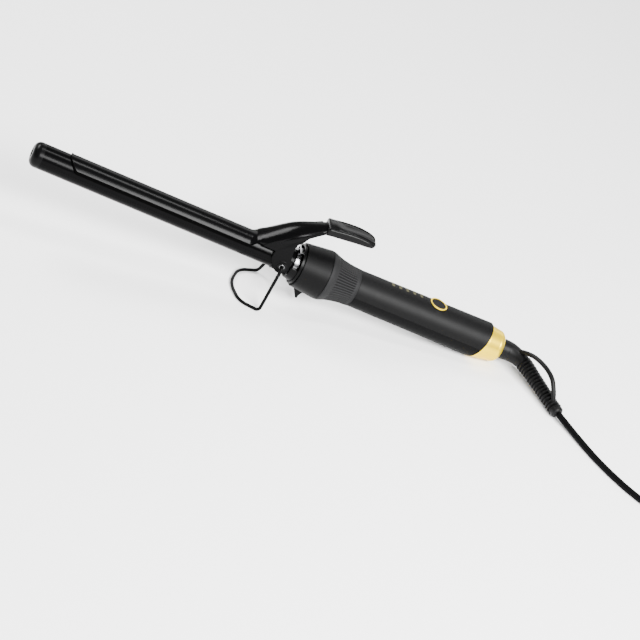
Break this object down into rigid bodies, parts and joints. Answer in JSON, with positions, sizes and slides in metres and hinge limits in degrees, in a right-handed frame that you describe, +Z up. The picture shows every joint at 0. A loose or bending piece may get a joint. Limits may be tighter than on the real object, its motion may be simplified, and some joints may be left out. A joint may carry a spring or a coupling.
{
  "type": "curling iron",
  "caption": "Slim hair curling iron with a spring clamp, thumb rest, folding wire rest, ribbed grip, round handle and swivel cord.",
  "frame": {"origin": "on the table below the middle of the iron without its free cord", "axes": "+X from the barrel's tip towards the cord's end, +Z up, the iron standing on its wire rest and the tail of its handle"},
  "size_m": [0.5818, 0.1901, 0.0747],
  "materials": {
    "barrel_coating": "gloss black heat-proof coating",
    "clamp_coating": "gloss black coated pressed steel",
    "cap_black": "satin black heat-proof plastic",
    "rest_black": "satin dark grey plastic",
    "polished_steel": "polished stainless sheet",
    "zinc_steel": "zinc plated steel",
    "black_wire": "black dipped steel wire",
    "collar_plastic": "matte dark grey heat-proof plastic",
    "grip_rubber": "soft-touch dark grey grip",
    "shell_plastic": "matte black plastic with a soft sheen",
    "gold_trim": "pale gold plated ring",
    "window_plastic": "clear moulded light guide",
    "lamp_plastic": "lamp epoxy",
    "aluminium": "plain extruded aluminium",
    "heater_ceramic": "sintered heater plate",
    "amber_film": "amber insulating film",
    "board_laminate": "green circuit board",
    "component_black": "moulded component case",
    "terminal_plastic": "off-white moulded insulator",
    "contact_brass": "plain brass contact",
    "lead_sleeve": "white silicone lead sleeve",
    "cord_rubber": "matte black cord sheath",
    "plug_plastic": "matte black moulded plug",
    "pin_metal": "nickel plated pins",
    "tie_plastic": "black strap"
  },
  "bodies": {
    "iron": {"barrel_tube": "barrel_coating", "barrel_end_cap": "cap_black", "cap_screw": "zinc_steel", "cap_anchor_nut": "zinc_steel", "heat_spreader_upper": "aluminium", "heat_spreader_lower": "aluminium", "heater_film": "amber_film", "heater_plate": "heater_ceramic", "thermal_fuse": "terminal_plastic", "heater_leads": "lead_sleeve", "lead_spacer": "heater_ceramic", "pivot_saddle": "polished_steel", "pivot_rivets": "polished_steel", "clamp_spring": "zinc_steel", "neck_band": "polished_steel", "front_collar": "collar_plastic", "shield_ring": "collar_plastic", "grip_sleeve": "grip_rubber", "handle_upper_shell": "shell_plastic", "handle_lower_shell": "shell_plastic", "shell_screws": "zinc_steel", "light_pipe": "window_plastic", "indicator_leds": "lamp_plastic", "button_bezel": "gold_trim", "tact_switch": "component_black", "circuit_board": "board_laminate", "power_capacitor": "component_black", "heater_triac": "component_black", "terminal_block": "terminal_plastic", "contact_blades": "contact_brass", "tail_ring": "gold_trim", "swivel_socket": "terminal_plastic", "power_cord": "cord_rubber", "cord_tail": "cord_rubber", "cord_coil": "cord_rubber", "cord_tie": "tie_plastic", "plug_body": "plug_plastic", "plug_pins": "pin_metal"},
    "clamp": {"clamp_lever": "clamp_coating", "thumb_rest": "rest_black", "thumb_screws": "zinc_steel"},
    "rest": {"wire_rest": "black_wire"},
    "power_key": {"power_button": "shell_plastic"},
    "cord_swivel": {"swivel_stem": "terminal_plastic", "slip_rings": "contact_brass", "cord_boot": "cord_rubber"}
  },
  "joints": [
    {"name": "clamp_hinge", "type": "hinge", "parent": "iron", "child": "clamp", "pos_m": [0.00359, 0, 0.03354], "axis": [0, 1, 0], "range_deg": [0, 20], "stiffness_Nm_per_rad": 0.6, "springref_deg": -20.05, "deforming": ["clamp_spring"]},
    {"name": "rest_hinge", "type": "hinge", "parent": "iron", "child": "rest", "pos_m": [0.00359, 0, 0.03354], "axis": [0, 1, 0], "range_deg": [0, 42]},
    {"name": "power_key_press", "type": "slide", "parent": "iron", "child": "power_key", "axis": [-0.1157, 0, -0.9933], "range_m": [0, 0.0008], "stiffness_N_per_m": 1200, "springref_m": -0.0008},
    {"name": "cord_swivel_turn", "type": "hinge", "parent": "iron", "child": "cord_swivel", "pos_m": [0.18789, 0, 0.01245], "axis": [0.9933, 0, -0.1157], "continuous": true, "deforming": ["power_cord"]}
  ]
}
